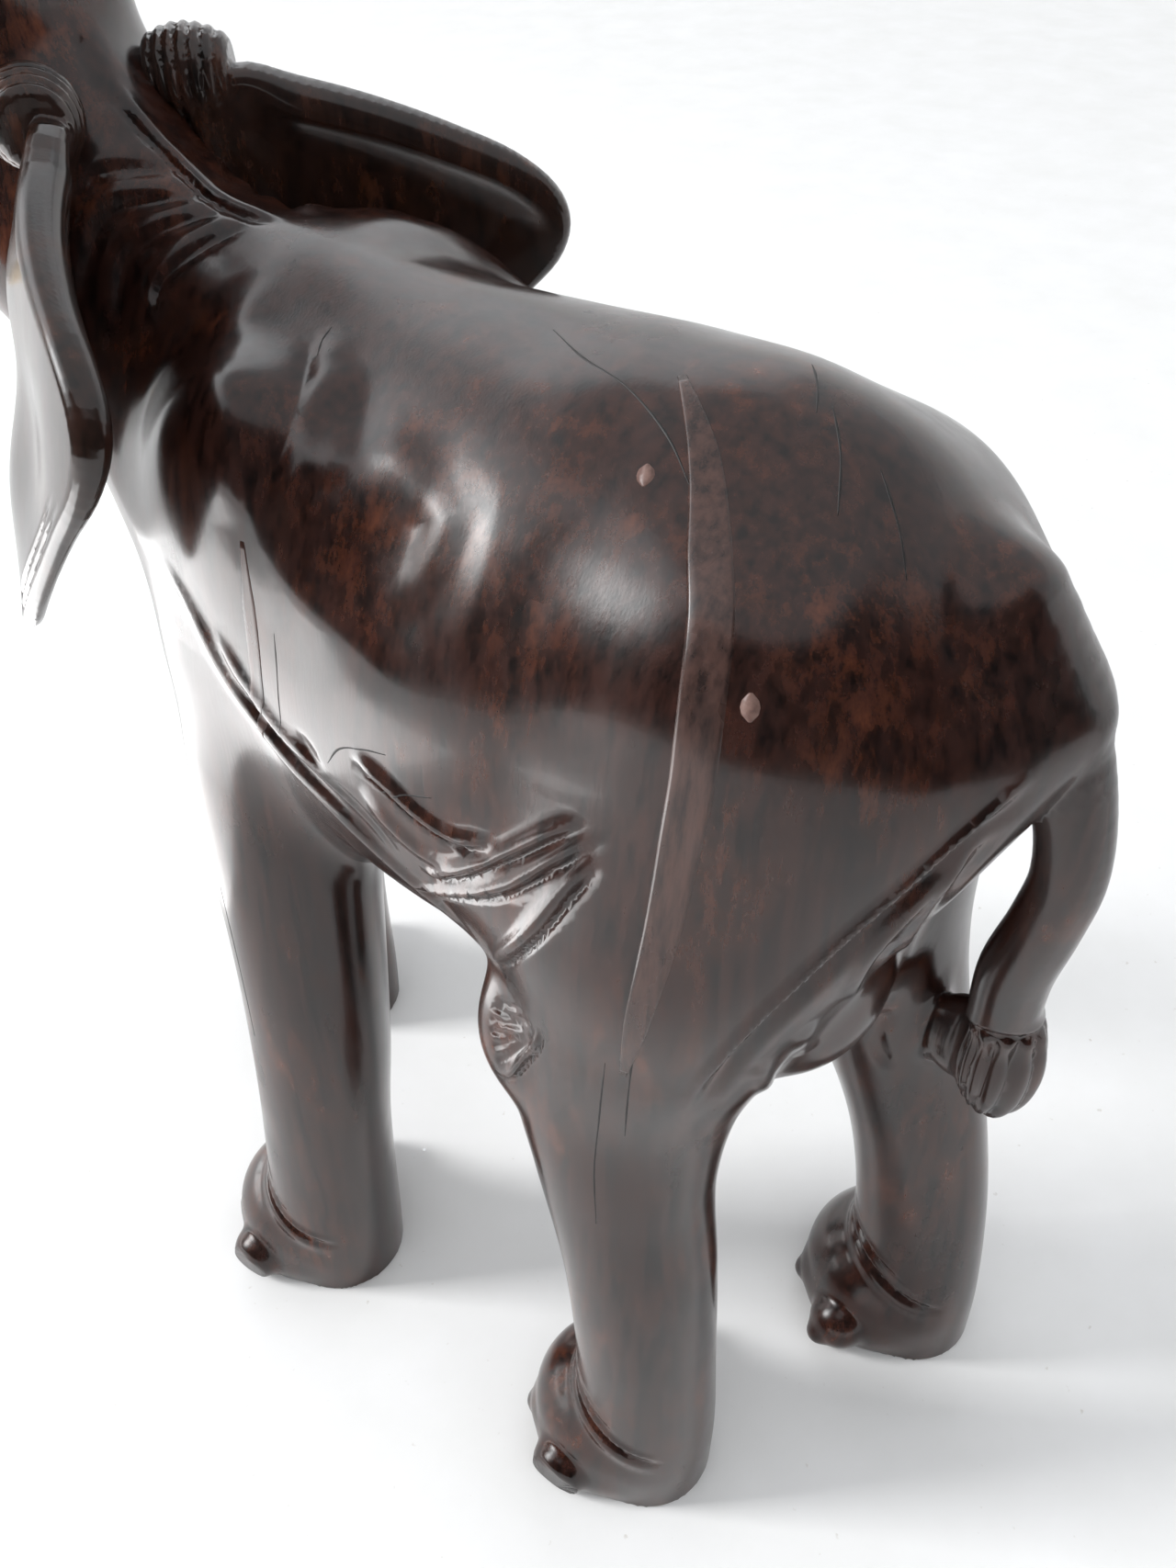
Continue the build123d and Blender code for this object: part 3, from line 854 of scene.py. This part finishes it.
def add_floor():
    """Painted floor that sweeps up into a pale wall far behind."""
    radius, turn_up, high, around = 5.0, 1.2, 3.2, 96
    profile = [(0.001, 0.0), (1.5, 0.0), (3.0, 0.0), (radius - turn_up, 0.0)]
    profile += [(radius - turn_up + turn_up * math.sin(t), turn_up - turn_up * math.cos(t))
                for t in np.linspace(0.15, math.pi / 2, 10)]
    profile.append((radius, high))
    points = np.array([(r * math.cos(a), r * math.sin(a), z) for r, z in profile
                       for a in np.linspace(0, 2 * math.pi, around, endpoint=False)]) / MM
    faces = [(i * around + j, i * around + (j + 1) % around, (i + 1) * around + (j + 1) % around,
              (i + 1) * around + j) for i in range(len(profile) - 1) for j in range(around)]
    floor = to_object("floor", points, np.array(faces))
    floor.data.shade_smooth()
    material = bpy.data.materials.new("floor_paint")
    material.use_nodes = True
    tree = material.node_tree
    shader = tree.nodes["Principled BSDF"]
    place = tree.nodes.new("ShaderNodeTexCoord").outputs["Object"]
    cloud = noise(tree, place, 9.0, 6, 0.6)
    speck = noise(tree, place, 160.0, 2, 0.5)
    paint = ramp(tree, cloud, [(0.3, (0.87, 0.87, 0.86)), (0.7, (0.92, 0.92, 0.92))])
    dirt = ramp(tree, speck, [(0.72, (1, 1, 1)), (0.80, (0.80, 0.78, 0.75))])
    tree.links.new(mixed(tree, 1.0, paint, dirt, "MULTIPLY"), shader.inputs["Base Color"])
    shader.inputs["Roughness"].default_value = 0.75
    relief(tree, cloud, 0.15, 0.001)
    floor.data.materials.append(material)


def add_light():
    world = bpy.data.worlds.new("studio")
    world.use_nodes = True
    background = world.node_tree.nodes["Background"]
    background.inputs["Color"].default_value = (0.95, 0.97, 1.0, 1)
    background.inputs["Strength"].default_value = SKY_LIGHT
    bpy.context.scene.world = world
    bpy.context.scene.view_settings.view_transform = "Standard"
    panel("window", (2.4, -3.4, 2.4), (0.3, -0.3, 0.0), (1.1, 1.5), WINDOW_POWER)
    glow = panel("lit_floor", (0.50, -0.66, 0.012), (0.50, -0.66, 1.0), (1.1, 0.65), LIT_FLOOR_POWER)
    glow.visible_camera = False
    dark = plain_paint("dark_room", DARK_ROOM_COLOUR, 0.0)
    pale = plain_paint("pale_room", PALE_ROOM_COLOUR, PALE_ROOM_LIGHT)
    fade_edges(pale)
    add_reflected_wall("dark_room", dark, 2.0, (0.12, 2.6), (62, 198))
    add_reflected_wall("dark_sill", dark, 2.0, (0.12, 1.35), (18, 62))
    add_reflected_wall("pale_room", pale, 2.3, (1.35, 3.7), (-80, 66))


def plain_paint(name, colour, glow):
    material = bpy.data.materials.new(name)
    material.use_nodes = True
    shader = material.node_tree.nodes["Principled BSDF"]
    shader.inputs["Base Color"].default_value = (*colour, 1)
    shader.inputs["Roughness"].default_value = 1.0
    shader.inputs["Emission Color"].default_value = (*colour, 1)
    shader.inputs["Emission Strength"].default_value = glow
    return material


def fade_edges(material):
    """The glow dies out toward the edges of its wall."""
    tree = material.node_tree
    parts = tree.nodes.new("ShaderNodeSeparateXYZ")
    tree.links.new(tree.nodes.new("ShaderNodeTexCoord").outputs["Generated"], parts.inputs["Vector"])
    fade = [(0.0, (0.05,) * 3), (0.3, (1, 1, 1)), (0.75, (1, 1, 1)), (1.0, (0.2,) * 3)]
    fades = [ramp(tree, parts.outputs[axis], fade) for axis in ("X", "Z")]
    share = mixed(tree, 1.0, fades[0], fades[1], "MULTIPLY")
    shader = tree.nodes["Principled BSDF"]
    tree.links.new(mixed(tree, share, (0.0, 0.0, 0.0), PALE_ROOM_COLOUR), shader.inputs["Emission Color"])


def add_reflected_wall(name, material, distance, heights, turns):
    """A part of the room that shows only as a reflection in the polish."""
    spans = 16
    rows = np.radians(np.linspace(*turns, spans + 1))
    points = np.array([(distance * math.sin(a), -distance * math.cos(a), z) for a in rows for z in heights])
    faces = np.array([(2 * i, 2 * i + 2, 2 * i + 3, 2 * i + 1) for i in range(spans)])
    wall = to_object(name, points / MM, faces)
    wall.data.materials.append(material)
    wall.visible_camera = wall.visible_diffuse = wall.visible_shadow = False


# ---- the figure ---------------------------------------------------------------
def make_body():
    body = sculpt("body_carved", body_field, form, (-130, -360, -6), (130, 360, 812), FINE)
    wood = dark_wood("body_wood", (0.006, 0.003, 0.0025), (0.030, 0.011, 0.008), (0.17, 0.047, 0.019), 0.55,
                     (0.15, 0.30))
    return finish_piece(body, ["body"], "dark_wood", wood)


def make_ears():
    low, high = (10, -150, 445), (160, 60, 675)
    left = sculpt("left_ear_carved", ear_field, ear_field, low, high, FINE_EAR)
    right = flip_side(left, "right_ear_carved")
    wood = dark_wood("ear_wood", (0.006, 0.004, 0.003), (0.024, 0.011, 0.008), (0.13, 0.042, 0.018), 0.45,
                     (0.14, 0.26))
    finish_piece(left, ["left_ear"], "ear_wood", wood)
    finish_piece(right, ["right_ear"], "ear_wood", wood)


def make_tusks():
    ivory_wood = plain_wood("tusk_wood", (0.50, 0.36, 0.20), (0.74, 0.60, 0.40), (60, 12, 60), 0.3)
    q = np.array(TUSK, float)
    low, high = q[:, :3].min(0) - 12, q[:, :3].max(0) + 12

    def tusk_field(P):
        return tube(P, TUSK, 8)[0]

    left = sculpt("left_tusk_turned", tusk_field, tusk_field, low, high, 1.2)
    right = flip_side(left, "right_tusk_turned")
    finish_piece(left, ["left_tusk"], "tusk_wood", ivory_wood)
    finish_piece(right, ["right_tusk"], "tusk_wood", ivory_wood)


def make_eyes(wood):
    for side, name in ((1, "left_eye"), (-1, "right_eye")):
        centre = (side * (EYE[0] + 1.2), EYE[1] - 0.5, EYE[2])

        def eye_field(P, c=centre):
            return ellipsoid(P, c, (6, 6.4, 5.6))

        eye = sculpt(name, eye_field, eye_field, np.array(centre) - 9, np.array(centre) + 9, 0.8)
        finish_piece(eye, [], "dark_wood", wood)


FLANK = [(18, 178, 591), (42, 200, 581), (65, 216, 565), (82, 227, 548), (97, 233, 515), (107, 233, 478),
         (112, 231, 440), (114, 226, 402), (112, 220, 368)]
FLANK_WIDTHS = (3, 10, 14, 15, 15, 14, 12, 9, 3)
SLIVER = [(92, 45, 524), (96, 46, 500), (98, 47, 478), (99, 46, 456), (98, 42, 436)]
# Hairline cracks, drawn as near-black stripes just proud of the skin: painted shade standing in for each
# open gap.
CRACKS = {
    "branch": [(8, 122, 590), (20, 142, 589), (28, 164, 587), (40, 186, 582), (52, 202, 574)],
    "leg_check": [(112, 213, 372), (108, 208, 330), (104, 204, 290), (106, 206, 250)],
    "thigh_check": [(113, 226, 400), (111, 222, 360), (106, 218, 320)],
    "rump_long": [(5, 224, 589), (22, 236, 582), (38, 244, 572)],
    "rump_short": [(17, 247, 578), (28, 260, 566), (36, 266, 555)],
    "rump_top": [(-13, 208, 591), (0, 216, 589), (12, 222, 587)],
    "belly_hair": [(104, 84, 449), (106, 92, 460), (107, 104, 466), (107, 116, 469)],
    "belly_hair_low": [(107, 112, 450), (107, 124, 455), (107, 136, 459)],
    "shoulder_hair": [(100, 59, 494), (101, 60, 476), (101, 58, 450)],
    "fore_check": [(106, -8, 330), (107, -4, 280), (108, -2, 230)],
    "neck_nick": [(36, 46, 585), (42, 46, 583), (48, 48, 580)],
}


def make_inlays():
    strip_wood = dark_wood("strip_wood", (0.016, 0.009, 0.008), (0.060, 0.030, 0.024), (0.14, 0.05, 0.025),
                           0.4, (0.22, 0.38))
    # One near-black material: the real glue line at the strips' edges, and painted shade inside the cracks.
    glue_and_crack_shade = plain_wood("glue_line_and_crack_shade", (0.004, 0.003, 0.003), (0.012, 0.009, 0.008), (200, 200, 200), 0.5)
    strip = ribbon("flank_strip_fitted", FLANK, FLANK_WIDTHS, 0.3, 2.0, 0.17)
    finish_piece(strip, ["flank_strip"], "strip_wood", strip_wood, glue_and_crack_shade)
    sliver = ribbon("shoulder_strip_fitted", SLIVER, (2, 7, 8, 7, 2), 0.2, 2.0, 0.14)
    finish_piece(sliver, ["shoulder_strip"], "strip_wood", strip_wood, glue_and_crack_shade)
    # Each crack is a thin dark stripe, painted shade of the gap rather than a cut.
    for name, line in CRACKS.items():
        crack = ribbon("check_" + name, line, (0.3, 1.0, 0.6, 0.9, 0.3), 0.12, 1.0)
        finish_piece(crack, [], "dark_wood", glue_and_crack_shade)
    filler = plain_wood("filler", (0.10, 0.05, 0.04), (0.19, 0.11, 0.09), (300, 300, 300), 0.4)
    for name, (x, y, z), node_name in (("flank_plug_set", (52, 186, 574), "flank_plug"),
                                       ("hip_plug_set", (88, 245, 533), "hip_plug")):
        line = [(x - 1.5, y - 1, z + 4), (x, y, z), (x + 1.5, y + 1, z - 4)]
        plug = ribbon(name, line, (1, 5, 6, 5, 1), 0.15, 2.0)
        finish_piece(plug, [node_name], "filler", filler)


body = make_body()
make_ears()
make_tusks()
make_eyes(body.data.materials[0])
make_inlays()
add_floor()
add_light()
add_camera()
